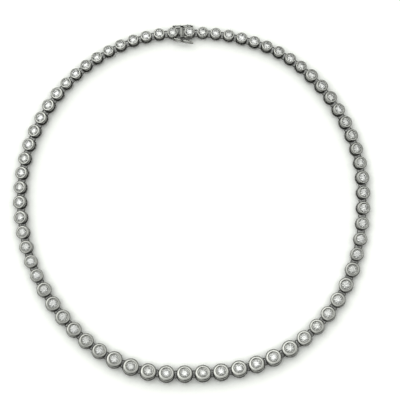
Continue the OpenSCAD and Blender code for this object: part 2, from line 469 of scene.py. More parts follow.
def loose_solids(node: str) -> list[np.ndarray]:
    """Splits a node into its separate solids.

    Args:
        node: The node's name.

    Returns:
        The points of each solid, in metres.
    """
    mesh = frame["nodes"][node].data
    points = node_points(node)
    _, first, which = np.unique(np.round(points, PLACE_DIGITS), axis=0, return_index=True,
                                return_inverse=True)
    flat = np.empty(len(mesh.edges) * 2, int)
    mesh.edges.foreach_get("vertices", flat)
    a, b = which.reshape(-1)[flat.reshape(-1, 2)].T
    label = np.arange(len(first))
    while True:
        lowest = np.minimum(label[a], label[b])
        new = label.copy()
        np.minimum.at(new, a, lowest)
        np.minimum.at(new, b, lowest)
        new = new[new]
        if (new == label).all():
            break
        label = new
    return [points[first[label == k]] for k in np.unique(label)]


def principal(points: np.ndarray, thin: bool) -> tuple[Vector, Vector]:
    """Finds the axis of a round thing, pointing up.

    Args:
        points: Its points.
        thin: Whether the thing is thinnest along its axis, as a ring is.

    Returns:
        Its middle and its axis.
    """
    middle = points.mean(0)
    sizes, axes = np.linalg.eigh(np.cov((points - middle).T))
    pick = 0 if thin else int(np.argmax(np.abs(sizes - np.median(sizes))))
    axis = axes[:, pick]
    return Vector(middle), Vector(axis if axis[2] > 0 else -axis)


@dataclass(frozen=True)
class Seat:
    """A stone's seat as it stands in the frame, with its origin in the middle of the girdle."""

    stones: str
    place: Place
    order: int


class Loop:
    """Where the stones and cups of the necklace are, read from the frame."""

    STONES = ("stones_left", "stones_right", "tongue_stone", "box_stone")
    # The share of a stone's largest radius from which its points are on its rim
    RIM = 0.98

    def __init__(self) -> None:
        """Reads every stone, in order round the loop."""
        found = []
        for stones in self.STONES:
            for points in loose_solids(stones):
                middle, axis = principal(points, thin=False)
                level, wide = self._off_axis(points, middle, axis)
                rim = level[wide > self.RIM * wide.max()].mean()
                found.append((stones, middle + axis * rim, axis))
        found.sort(key=lambda item: math.atan2(item[1].y, item[1].x))
        self.middles = np.array([item[1] for item in found])
        self.seats = [self._seat(k, *item) for k, item in enumerate(found)]
        log.info("loop: %d stones", len(self.seats))

    @staticmethod
    def _off_axis(points: np.ndarray, middle: Vector, axis: Vector) -> tuple[np.ndarray, np.ndarray]:
        """Measures points along an axis and away from it.

        Args:
            points: The points.
            middle: A point on the axis.
            axis: Which way it runs.

        Returns:
            How far each point is along the axis and away from it.
        """
        off = points - np.array(middle)
        level = off @ np.array(axis)
        return level, np.linalg.norm(off - level[:, None] * np.array(axis), axis=1)

    def _seat(self, order: int, stones: str, middle: Vector, axis: Vector) -> Seat:
        """Gives one seat its axes: X along the string and Z up through the stone.

        Args:
            order: The stone's number round the loop.
            stones: The node that the stone is in.
            middle: The middle of its girdle.
            axis: Its axis.

        Returns:
            The seat.
        """
        after = self.middles[(order + 1) % len(self.middles)]
        along = Vector((after - self.middles[order - 1]) * (1, 1, 0)).normalized()
        return Seat(stones, Place(middle, along, axis), order)

    def seats_of(self, stones: str) -> list[Seat]:
        """Lists the seats of the stones of one node, in order round the loop."""
        return [seat for seat in self.seats if seat.stones == stones]

    def collet(self, seat: Seat) -> "Collet":
        """Measures the collet of a seat in the string.

        Args:
            seat: The seat.

        Returns:
            A cup of the same size.
        """
        points, nearest = self._owners(seat.stones.replace("stones", "collets"))
        level, wide = self._off_axis(points[nearest == seat.order], seat.place.origin, seat.place.up)
        return Collet(round(wide.max() / MM, 2), round((level.max() - level.min()) / MM, 2),
                      round(-level.min() / MM, 2))

    @cache
    def _owners(self, node: str) -> tuple[np.ndarray, np.ndarray]:
        """Says which stone each point of a node belongs to.

        Args:
            node: The node's name.

        Returns:
            The points, and the number of the stone that is nearest to each.
        """
        points = node_points(node)
        gaps = [np.linalg.norm(points - middle, axis=1) for middle in self.middles]
        return points, np.argmin(gaps, axis=0)


# Finishes


class Graph:
    """A node tree with short ways to add and join its nodes."""

    def __init__(self, tree: bpy.types.NodeTree) -> None:
        """Takes the tree that the nodes go into."""
        self.tree = tree

    def add(self, kind: str, **sockets: object) -> bpy.types.Node:
        """Adds a node.

        Args:
            kind: The node's type, without the leading ShaderNode.
            sockets: What its inputs or settings are set to or joined to. A name that begins with a
                capital is an input, where _ stands for a blank, and any other name is a setting.

        Returns:
            The new node.
        """
        node = self.tree.nodes.new("ShaderNode" + kind)
        for name, value in sockets.items():
            if not name[0].isupper():
                setattr(node, name, value)
        for name, value in sockets.items():
            if name[0].isupper():
                self.feed(node.inputs[name.replace("_", " ")], value)
        return node

    def feed(self, socket: bpy.types.NodeSocket, value: object) -> None:
        """Joins a socket to another node's output, or sets it to a plain value.

        Args:
            socket: The input.
            value: The output that it is joined to, or the value that it is set to.
        """
        if isinstance(value, bpy.types.NodeSocket):
            self.tree.links.new(value, socket)
        elif isinstance(value, tuple) and len(value) == 3 and socket.type == "RGBA":
            socket.default_value = (*value, 1.0)
        else:
            socket.default_value = value

    def blend(self, share: object, a: object, b: object) -> bpy.types.NodeSocket:
        """Mixes two colours.

        Args:
            share: How much of the second one shows, from 0 to 1.
            a: The first colour.
            b: The second colour.

        Returns:
            The mixed colour.
        """
        node = self.add("Mix", data_type="RGBA")
        for index, value in ((0, share), (6, a), (7, b)):
            self.feed(node.inputs[index], value)
        return node.outputs[2]

    def spread(self, value: object, low: float, high: float, to_low: float,
               to_high: float) -> bpy.types.NodeSocket:
        """Stretches a value from one range to another."""
        node = self.add("MapRange", Value=value, From_Min=low, From_Max=high, To_Min=to_low,
                        To_Max=to_high)
        return node.outputs["Result"]

    def maths(self, operation: str, *values: object) -> bpy.types.NodeSocket:
        """Works out one step of arithmetic.

        Args:
            operation: The step, such as MULTIPLY.
            values: What it works on, as sockets or plain values.

        Returns:
            The result.
        """
        node = self.add("Math", operation=operation)
        for socket, value in zip(node.inputs, values):
            self.feed(socket, value)
        return node.outputs[0]

    def mask(self, name: str) -> bpy.types.NodeSocket:
        """Reads a value that is stored at the mesh's points."""
        return self.add("Attribute", attribute_name=name).outputs["Fac"]


def new_group(name: str, takes: dict[str, tuple[str, object]],
              gives: dict[str, str]) -> tuple[Graph, bpy.types.Node, bpy.types.Node]:
    """Makes an empty shader node group.

    Args:
        name: The group's name.
        takes: Its inputs, with the kind of socket and the usual value of each.
        gives: Its outputs, with the kind of socket of each.

    Returns:
        The group's graph, its input node and its output node.
    """
    group = bpy.data.node_groups.new(name, "ShaderNodeTree")
    for title, (kind, usual) in takes.items():
        socket = group.interface.new_socket(title, in_out="INPUT", socket_type="NodeSocket" + kind)
        socket.default_value = usual
    for title, kind in gives.items():
        group.interface.new_socket(title, in_out="OUTPUT", socket_type="NodeSocket" + kind)
    return Graph(group), group.nodes.new("NodeGroupInput"), group.nodes.new("NodeGroupOutput")


def new_material(name: str) -> tuple[bpy.types.Material, Graph, bpy.types.Node]:
    """Starts a material.

    Args:
        name: The material's name.

    Returns:
        The material, its graph and its shader.
    """
    made = bpy.data.materials.new(name)
    made.use_nodes = True
    return made, Graph(made.node_tree), made.node_tree.nodes["Principled BSDF"]


@cache
def polish_grime_and_shade() -> bpy.types.NodeTree:
    """Builds the worn polish of white gold: dull patches, hair scratches, and grime with painted shade
    in the recesses and between parts.

    Returns:
        The shader node group. It puts out a colour with the painted shade in it, a roughness and a
        height for the bump.
    """
    g, start, end = new_group(
        "polish_grime_and_shade",
        {"Metal": ("Color", (0.8, 0.8, 0.78, 1.0)), "Worn": ("Color", (0.4, 0.4, 0.4, 1.0)),
         "Grime": ("Color", (0.05, 0.05, 0.05, 1.0)), "Polish": ("Float", 0.12),
         "Dullness": ("Float", 0.1), "Grain": ("Float", 900.0), "Stretch": ("Float", 14.0)},
        {"Color": "Color", "Roughness": "Float", "Height": "Float"})
    given, gives = start.outputs, end.inputs
    where = g.add("TexCoord").outputs["Object"]
    patches = g.add("TexNoise", Vector=where, Scale=given["Grain"], Detail=4.0,
                    Roughness=0.6).outputs["Fac"]
    lengthwise = g.add("Mapping", Vector=where, Scale=(1.0, 6.0, 0.3)).outputs["Vector"]
    fine = g.maths("MULTIPLY", given["Grain"], given["Stretch"])
    hairs = g.add("TexNoise", Vector=lengthwise, Scale=fine, Detail=2.0,
                  Distortion=0.6).outputs["Fac"]
    # The mask darkens the colour towards the grime colour: grime, and painted shade in recesses and
    # between parts
    grime_and_shade_amount = g.maths("MULTIPLY", g.mask(GRIME_AND_SHADE), g.spread(patches, 0.3, 0.7, 0.75, 1.05))
    bright = g.blend(g.spread(patches, 0.35, 0.75, 0.0, 0.35), given["Metal"], given["Worn"])
    rubbed = g.spread(patches, 0.3, 0.8, 0.0, 1.0)
    dull = g.maths("MULTIPLY_ADD", rubbed, given["Dullness"], given["Polish"])
    g.feed(gives["Color"], g.blend(grime_and_shade_amount, bright, given["Grime"]))
    g.feed(gives["Roughness"], g.maths("MULTIPLY_ADD", grime_and_shade_amount, 0.35, dull))
    g.feed(gives["Height"], g.spread(hairs, 0.42, 0.62, 0.0, 1.0))
    return g.tree


@dataclass(frozen=True)
class WhiteGold:
    """White gold with a worn polish, grime and painted shade, for the cast cups and for drawn wire.

    The grain is the scale of its patches, the stretch is how much finer its scratches are, and the
    scratch is their depth in metres.
    """

    name: str
    metal: Colour = (0.45, 0.45, 0.435)
    worn: Colour = (0.36, 0.36, 0.35)
    # The dark colour of grime, and of the painted shade in recesses and between parts
    grime: Colour = (0.03, 0.03, 0.027)
    polish: float = 0.1
    dullness: float = 0.14
    grain: float = 900.0
    stretch: float = 12.0
    scratch: float = 0.0000006
    bump: float = 0.35

    def material(self) -> bpy.types.Material:
        """Builds the material.

        Returns:
            The material.
        """
        made, g, shader = new_material(self.name)
        worn = g.add("Group", node_tree=polish_grime_and_shade(), Metal=self.metal, Worn=self.worn,
                     Grime=self.grime, Polish=self.polish, Dullness=self.dullness, Grain=self.grain,
                     Stretch=self.stretch)
        bump = g.add("Bump", Strength=self.bump, Distance=self.scratch, Height=worn.outputs["Height"])
        g.feed(shader.inputs["Base Color"], worn.outputs["Color"])
        g.feed(shader.inputs["Roughness"], worn.outputs["Roughness"])
        g.feed(shader.inputs["Normal"], bump.outputs["Normal"])
        shader.inputs["Metallic"].default_value = 1.0
        return made


@dataclass(frozen=True)
class Diamond:
    """Clear diamond with a faint tint of its own in each stone."""

    name: str
    clear: Colour = (0.53, 0.53, 0.53)
    tinted: Colour = (0.46, 0.46, 0.45)
    index: float = 2.42
    haze: float = 0.012
    wisp: float = 2600.0

    def material(self) -> bpy.types.Material:
        """Builds the material.

        Returns:
            The material.
        """
        made, g, shader = new_material(self.name)
        where = g.add("TexCoord").outputs["Object"]
        wisps = g.add("TexNoise", Vector=where, Scale=self.wisp, Detail=2.0).outputs["Fac"]
        g.feed(shader.inputs["Base Color"], g.blend(g.mask(TINT), self.clear, self.tinted))
        g.feed(shader.inputs["Roughness"], g.spread(wisps, 0.45, 0.8, 0.0, self.haze))
        shader.inputs["IOR"].default_value = self.index
        shader.inputs["Transmission Weight"].default_value = 1.0
        return made


@dataclass(frozen=True)
class Paper:
    """Matt white paper that the necklace lies on."""

    name: str
    white: Colour = (0.84, 0.84, 0.83)
    shade: Colour = (0.81, 0.815, 0.805)
    fibre: float = 1500.0
    depth: float = 0.00002
    roughness: float = 0.75

    def material(self) -> bpy.types.Material:
        """Builds the material.

        Returns:
            The material.
        """
        made, g, shader = new_material(self.name)
        where = g.add("TexCoord").outputs["Object"]
        fibres = g.add("TexNoise", Vector=where, Scale=self.fibre, Detail=3.0).outputs["Fac"]
        g.feed(shader.inputs["Base Color"], g.blend(fibres, self.white, self.shade))
        bump = g.add("Bump", Strength=0.1, Distance=self.depth, Height=fibres)
        g.feed(shader.inputs["Normal"], bump.outputs["Normal"])
        shader.inputs["Roughness"].default_value = self.roughness
        shader.inputs["Specular IOR Level"].default_value = 0.2
        return made


# Pieces


@dataclass(frozen=True)
class Piece:
    """A finished piece of the scene, and what it stands for in the frame."""

    name: str
    body: Body
    slot: Slot
    nodes: tuple[str, ...]

    def make(self, part: Part, marks: dict[str, np.ndarray], material: bpy.types.Material) -> None:
        """Makes the object, dresses it and sets it on its body.

        Args:
            part: The whole mesh, in the frame's millimetres.
            marks: Values for the materials at each point.
            material: Its finish.
        """
        mesh = part.to_mesh(self.name, MM)
        for title, values in marks.items():
            mark = mesh.attributes.new(title, "FLOAT", "POINT")
            mark.data.foreach_set("value", values.astype(np.float32))
        mesh.materials.append(material)
        mesh.shade_smooth()
        mesh.set_sharp_from_angle(angle=math.radians(SHARP_OVER[self.slot]))
        item = bpy.data.objects.new(self.name, mesh)
        bpy.context.scene.collection.objects.link(item)
        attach(item, self.body.value)
        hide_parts(*self.nodes)
        log.info("%s: %d points, %d faces", self.name, len(part.points), len(part.faces))


@dataclass(frozen=True)
class GrimeAndShade:
    """How dark the parts of a cup are painted, from 0, clean, to 1: grime, and painted shade in its
    recesses and where it faces the neighbouring cups.

    Attributes:
        seat: The seat below the stone.
        groove: The groove between the stone and its bead.
        dish: The dish round the bead.
        rim: The rim, from its crest outwards.
        wall: The wall of the collar.
        wall_ends: The painted shade that the wall gets besides, where it faces the neighbouring cups.
        foot: The painted shade on the base ring where it faces them.
    """

    seat: float = 0.45
    groove: float = 0.8
    dish: float = 0.05
    rim: float = 0.18
    wall: float = 0.3
    wall_ends: float = 0.55
    foot: float = 0.9


@dataclass(frozen=True)
class Collet:
    """One size of turned cup. Sizes are in millimetres, and heights are from its base."""

    radius: float
    height: float
    girdle: float
    # The seat of the stone, the bead that holds it and the bore below
    stone_radius: float = 1.6
    bore_in: float = 0.25
    lip_in: float = 0.07
    lip_h: float = 0.15
    bead: float = 0.05
    seat_gap: float = 0.05
    seat_h: float = 0.12
    grip_h: float = 0.1
    pavilion_slope: float = 0.86
    # The crest, the shoulder outside it and the slope down to the bead
    crest_share: float = 0.34
    crest_w: float = 0.07
    squareness: float = 2.4
    shoulder_end: float = 78
    shoulder_step: float = 15.4
    slope_end: float = 0.94
    slope_steps: int = 6
    smallest: float = 2.125
    least_drop: float = 0.34
    more_drop: float = 0.4
    # The underside of the collar and the base ring
    underside_in: float = 0.04
    underside_h: float = 0.14
    underside_rounds: Spot = (0.05, 0.1, 0.08)
    base_h: float = 0.45
    base_w: float = 0.65
    base_inset: float = 0.05
    base_round: float = 0.14
    base_round_in: float = 0.08
    # The gallery and its posts, which stand further in below the wide collars
    gallery_h: float = 1.0
    post_r: float = 0.22
    post_in: float = 0.38
    post_in_more: float = 0.05
    post_in_from: float = 4.8
    post_sink: float = 0.15
    post_sides: int = 12
    fillet: float = 0.12
    sides: int = 48
    # How dark each part is painted: grime, and painted shade in the recesses and between the cups
    grime_and_shade_shares: GrimeAndShade = GrimeAndShade()

    def drop(self) -> float:
        """Gives how far the rounded shoulder of the collar falls."""
        return self.least_drop + (self.radius - self.smallest) * self.more_drop

    def crest(self) -> float:
        """Gives the radius of the crest round the stone."""
        return self.stone_radius + self.crest_share * (self.radius - self.stone_radius)

    def collar(self) -> Part:
        """Turns the upper collar with its rim, its dish and the seat below the stone.

        Returns:
            The collar.
        """
        r, low = self.radius, self.base_h + self.gallery_h
        bore, lip = self.stone_radius - self.bore_in, self.stone_radius - self.lip_in
        crest, drop, top = self.crest(), self.drop(), self.height
        edge = self.girdle + self.lip_h
        under = ((bore, low), (r - self.underside_in, low), (r, low + self.underside_h))
        section = rounded([(*at, by) for at, by in zip(under, self.underside_rounds)], 2)
        bend = 2 / self.squareness
        section += [(crest + (r - crest) * math.cos(a) ** bend, top - drop * (1 - math.sin(a) ** bend))
                    for a in np.radians(np.arange(0, self.shoulder_end, self.shoulder_step))]
        section.append((crest, top))
        inner, foot = crest - self.crest_w, lip + 2 * self.bead
        slope = [(inner + (foot - crest + self.crest_w) * t, edge + (top - edge) * (1 - t) ** 2)
                 for t in np.linspace(0, self.slope_end, self.slope_steps)]
        bead = arc((lip + self.bead, edge), self.bead, 20, 160, 5)
        wall = self.stone_radius + self.seat_gap
        seat = self.girdle - self.seat_h
        section += slope + bead + [(lip + 0.01, self.girdle + self.grip_h),
                                   (wall, self.girdle + self.seat_gap), (wall, seat),
                                   (bore, seat - self.bore_in * self.pavilion_slope)]
        return turned(section, self.sides)

    def base(self) -> Part:
        """Turns the base ring.

        Returns:
            The ring.
        """
        r = self.radius - self.base_inset
        ring = plain_ring(r - self.base_w, r, (0, self.base_h), self.base_round_in, self.base_round)
        return turned(ring, self.sides)

    def posts(self) -> Part:
        """Turns the four posts of the gallery, with the flares of their solder.

        Returns:
            The posts.
        """
        h, flare, sink = self.gallery_h, self.fillet, self.post_sink
        further_in = self.post_in_more * min(1, max(0, 2 * self.radius - self.post_in_from))
        reach = self.radius - self.post_in - further_in
        root = self.post_r + flare
        side = [(self.post_r + flare * (1 - math.sin(a)), flare * (1 - math.cos(a)))
                for a in np.radians((0, 30, 60, 90))]
        section = [(0, -sink), (root, -sink)] + side
        section += [(r, h - z) for r, z in reversed(side)] + [(root, h + sink), (0, h + sink)]
        post = pinched(section, self.post_sides).shifted(reach, 0, self.base_h)
        return Part.gathered(post.moved(spin("Z", a)) for a in (0, 90, 180, 270))

    def grime(self, points: np.ndarray) -> np.ndarray:
        """Says how dark each point of the cup is painted: grime, and painted shade in the gallery, the
        seat, the groove, the dish, on the rim and wall and on the foot where the cups meet.

        Args:
            points: Points in the cup's own axes.

        Returns:
            A value from 0, clean, to 1 at each point.
        """
        r, z = np.hypot(points[:, 0], points[:, 1]), points[:, 2]
        stone, grime_and_shade_shares = self.stone_radius, self.grime_and_shade_shares
        low, edge, crest = self.base_h + self.gallery_h, self.height - self.drop(), self.crest()
        # Each part fades in over a small height or radius
        ends = eased(np.abs(points[:, 0]) / np.maximum(r, 0.1), 0.55, 0.85)
        # Painted shade in the gallery between the collar and the base ring
        above_base = eased(z, self.base_h * 0.7, self.base_h + 0.2)
        sunk = eased(r, self.radius - 0.02, self.radius - 0.25)
        gallery = above_base * eased(z, low + 0.25, low) * sunk
        # Painted shade in the seat under the stone
        below_stone = eased(z, self.girdle + 0.02, self.girdle - 0.1)
        seat = grime_and_shade_shares.seat * eased(r, stone - 0.02, stone - 0.12) * below_stone
        # Painted shade in the groove between the stone and its bead
        below_lip = eased(z, self.girdle + self.lip_h * 0.9, self.girdle + self.lip_h * 0.3)
        groove = grime_and_shade_shares.groove * below_lip * (z > low + 0.1) * (r < stone + 0.12)
        below_rim = eased(z, self.girdle + 0.4, self.girdle + 0.2)
        # Painted shade in the dish round the bead
        dish = grime_and_shade_shares.dish * eased(r, stone + 0.35, stone + 0.08) * below_rim
        # Painted shade on the rim, from its crest outwards
        rim = grime_and_shade_shares.rim * eased(r, crest - 0.15, crest + 0.1) * (z > edge - 0.2)
        # Painted shade on the wall below the shoulder, darker where it faces the neighbouring cups
        below_edge = (r > crest) * eased(z, edge + 0.3 * self.drop(), edge - 0.15)
        wall = below_edge * (grime_and_shade_shares.wall + grime_and_shade_shares.wall_ends * ends)
        # Painted shade on the base ring where it faces the neighbouring cups
        foot = grime_and_shade_shares.foot * eased(z, self.base_h + 0.1, self.base_h) * ends
        return np.clip(np.maximum.reduce([gallery, seat, groove, dish, rim, wall, foot]), 0, 1)

    @cache
    def cup(self) -> tuple[Part, np.ndarray]:
        """Solders the cup together, and says how dark each point is painted as grime and painted shade.
        """
        part = soldered(Part.gathered([self.collar(), self.base()]), self.posts())
        return part, self.grime(part.points)


@dataclass(frozen=True)
class Brilliant:
    """A round brilliant, cut facet by facet.

    Its diameter, and how far its tip is cut back for the culet, are in millimetres. The reach of its
    star and half facets is a share of its radius, and every other size is a share of its diameter.
    """

    diameter: float = 3.2
    table: float = 0.56
    crown: float = 0.155
    pavilion: float = 0.43
    girdle: float = 0.028
    star_reach: float = 0.79
    half_reach: float = 0.22
    culet: float = 0.03
    sides: int = 64

    def facets(self) -> list[tuple[Vector, Vector]]:
        """Lists the facets as planes.

        Returns:
            A point on each facet, and the way that it faces.
        """
        r, g = self.diameter / 2, self.diameter * self.girdle / 2
        slope = self.crown / (0.5 - self.table / 2)
        drop = 2 * self.pavilion
        top, tip = g + self.crown * self.diameter, -g - self.pavilion * self.diameter
        # Half of the eighth of a turn that one main facet takes
        half = math.pi / 8

        def at(radius: float, angle: float, z: float) -> Vector:
            """Gives the point at that radius, angle and height."""
            return Vector((radius * math.cos(angle), radius * math.sin(angle), z))

        def plane(a: Vector, b: Vector, c: Vector) -> tuple[Vector, Vector]:
            """Gives the plane through three points, facing away from the stone."""
            out = (b - a).cross(c - a).normalized()
            return a, out if out.dot(a - Vector((0, 0, -g))) > 0 else -out

        cuts = [(Vector((0, 0, top)), Vector((0, 0, 1)))]
        star = self.star_reach * r
        star_z = top - slope * (star * math.cos(half) - self.table * r)
        low = self.half_reach * r
        low_z = tip + drop * low * math.cos(half)
        for k in range(8):
            a = 2 * half * k
            cuts.append((at(r, a, g), at(slope, a, 1).normalized()))
            cuts.append((at(r, a, -g), at(drop, a, -1).normalized()))
            cuts.append(plane(at(self.table * r, a, top), at(self.table * r, a + 2 * half, top),
                              at(star, a + half, star_z)))
            for b in (a, a + half):
                cuts.append(plane(at(r, b, g), at(r, b + half, g), at(star, a + half, star_z)))
                cuts.append(plane(at(r, b, -g), at(r, b + half, -g), at(low, a + half, low_z)))
        cuts.append((Vector((0, 0, tip + self.culet)), Vector((0, 0, -1))))
        return cuts

    @cache
    def cut(self) -> Part:
        """Cuts the stone out of a round blank.

        Returns:
            The stone, with the middle of its girdle at the origin.
        """
        bm = bmesh.new()
        bmesh.ops.create_cone(bm, cap_ends=True, segments=self.sides, radius1=self.diameter / 2,
                              radius2=self.diameter / 2, depth=2 * self.diameter)
        for point, outward in self.facets():
            done = bmesh.ops.bisect_plane(bm, geom=bm.verts[:] + bm.edges[:] + bm.faces[:], dist=ON_CUT,
                                          plane_co=point, plane_no=outward, clear_outer=True)
            rim = [e for e in done["geom_cut"] if isinstance(e, bmesh.types.BMEdge) and e.is_boundary]
            if rim:
                bmesh.ops.edgeloop_fill(bm, edges=rim)
        bmesh.ops.remove_doubles(bm, verts=bm.verts, dist=WELD)
        bmesh.ops.recalc_face_normals(bm, faces=bm.faces)
        return Part.from_bmesh(bm)


@dataclass(frozen=True)
class JumpRing:
    """A ring of round wire, soldered shut on one side. Sizes are in millimetres."""

    radius: float = 1.33
    wire: float = 0.18
    seam: float = 0.1
    seam_w: float = 0.14
    steps: int = 40
    sides: int = 12
    # How dark the wire is painted all over, and more at its ends in the cups: grime, and painted shade
    # between the cups
    least_grime_and_shade: float = 0.65
    more_grime_and_shade: float = 0.25

    def ring(self) -> Part:
        """Bends the ring flat on the XY plane, with the small swell of its seam.

        Returns:
            The ring.
        """
        turn = 2 * math.pi / self.steps * np.arange(self.steps)
        path = [(self.radius * math.cos(a), self.radius * math.sin(a)) for a in turn]
        swell = self.seam * np.exp(-((np.minimum(turn, 2 * math.pi - turn) / self.seam_w) ** 2))
        return bent_wire(path, self.wire, self.sides, swell).moved(spin("X", 90))

    def grime(self, points: np.ndarray) -> np.ndarray:
        """Says how dark each point of the ring is painted, as grime and painted shade: the ends in the
        cups are the darkest.
        """
        return self.least_grime_and_shade + self.more_grime_and_shade * eased(np.abs(points[:, 1]), 0.5, 1.1)


class Strings:
    """The two halves of the string: cups, stones and jump rings."""

    TURN = 137.5
    SEED = 71

    def __init__(self, loop: Loop, cast: bpy.types.Material, wire: bpy.types.Material,
                 stone: bpy.types.Material) -> None:
        """Takes the loop and the finishes.

        Args:
            loop: Where every collet stands.
            cast: The finish of the cups.
            wire: The finish of the jump rings.
            stone: The finish of the diamonds.
        """
        self.loop = loop
        self.cast = cast
        self.wire = wire
        self.stone = stone
        self.tints = np.random.default_rng(self.SEED).random(len(loop.seats))

    def build(self) -> None:
        """Builds the cups and rings of both halves, and every stone."""
        for side in Side:
            self.cups(side)
            self.rings(side)
        for node in self.loop.STONES:
            self.brilliants(node)

    def cups(self, side: Side) -> None:
        """Builds the cups of one half as one piece.

        Args:
            side: The half.
        """
        parts, grime = [], []
        for seat in self.loop.seats_of(f"stones_{side.value}"):
            size = self.loop.collet(seat)
            cup, darkened = size.cup()
            parts.append(cup.moved(seat.place.matrix() @ Matrix.Translation((0, 0, -size.girdle))))
            grime.append(darkened)
        piece = Piece(f"cups_{side.value}", Body.NECKLACE, Slot.CAST, (f"collets_{side.value}",))
        # The mask paints each cup's grime and its painted shade
        piece.make(Part.gathered(parts), {GRIME_AND_SHADE: np.concatenate(grime)}, self.cast)

    def brilliants(self, node: str) -> None:
        """Builds the stones of a node as one piece.

        Args:
            node: The node's name.
        """
        parts, tints = [], []
        for seat in self.loop.seats_of(node):
            turn = spin("Z", self.TURN * seat.order)
            parts.append(Brilliant().cut().moved(seat.place.matrix() @ turn))
            tints.append(np.full(len(parts[-1].points), self.tints[seat.order]))
        piece = Piece(node.replace("stone", "brilliant"), Body.NECKLACE, Slot.STONE, (node,))
        piece.make(Part.gathered(parts), {TINT: np.concatenate(tints)}, self.stone)

    def rings(self, side: Side) -> None:
        """Builds the jump rings of one half as one piece.

        Args:
            side: The half.
        """
        node = f"jump_rings_{side.value}"
        kind = JumpRing()
        ring = kind.ring()
        parts = []
        for points in loose_solids(node):
            middle, axis = principal(points, thin=True)
            outward = Vector((middle.x, middle.y, 0))
            parts.append(ring.moved(Place(middle, outward, axis).matrix()))
        grime = np.tile(kind.grime(ring.points), len(parts))
        piece = Piece(node.replace("jump", "wire"), Body.NECKLACE, Slot.WIRE, (node,))
        piece.make(Part.gathered(parts), {GRIME_AND_SHADE: grime}, self.wire)


@dataclass(frozen=True)
class Catch:
    """A safety catch: a figure eight of round wire with a ball for its tip. Sizes are in millimetres.

    It is bent with its hinge bar on the Z axis and its tip on the negative X side.
    """

    name: str
    body: Body
    wire: float = 0.25
    half: float = 0.9
    corner: float = 0.35
    waist_in: float = -2.15
    waist_out: float = -4.25
    end: float = -5.875
    tip: float = -7.1
    tip_r: float = 0.425
    steps: int = 20
    corner_steps: int = 6
    sides: int = 16
    most_darkening: float = 0.8

    def eight(self) -> Part:
        """Bends the two loops and solders them and the ball together.

        Returns:
            The catch, in its own axes.
        """
        bend = self.half - self.corner
        first = (arc((-self.corner, bend), self.corner, 0, 90, self.corner_steps)
                 + arc((self.waist_in, 0), self.half, 90, 180, self.steps)
                 + arc((-self.corner, -bend), self.corner, 270, 90, self.corner_steps))
        second = (arc((self.waist_out, 0), self.half, 270, 180, self.steps)
                  + arc((self.end, 0), self.half, 90, 180, self.steps))
        loops = [bent_wire(path, self.wire, self.sides) for path in (first, second)]
        return soldered(*loops, ball(self.tip_r).shifted(self.tip, 0, 0))

    def grime(self, points: np.ndarray) -> np.ndarray:
        """Says how dark each point is painted: darkest at the solder joints and at the hinge bar.

        Args:
            points: Points in the catch's own axes.

        Returns:
            A value from 0, clean, to 1 at each point.
        """
        x, z = points[:, 0], np.abs(points[:, 2])
        joint = (self.waist_in + self.waist_out) / 2
        waist = eased(np.hypot(x - joint, z), 0.6, 0.25)
        neck = eased(np.hypot(x - self.tip - self.tip_r, z), 0.3, 0.1)
        hinge = eased(x, -0.3, 0.1) * eased(z, 0.55, 0.4)
        return np.clip(self.most_darkening * np.maximum.reduce([waist, neck, hinge]), 0, 1)

    def build(self, place: Matrix, material: bpy.types.Material) -> None:
        """Builds the catch on its own body.

        Args:
            place: Where its hinge stands.
            material: Its finish.
        """
        eight = self.eight()
        piece = Piece(self.name, self.body, Slot.WIRE, (self.body.value,))
        piece.make(eight.moved(place), {GRIME_AND_SHADE: self.grime(eight.points)}, material)


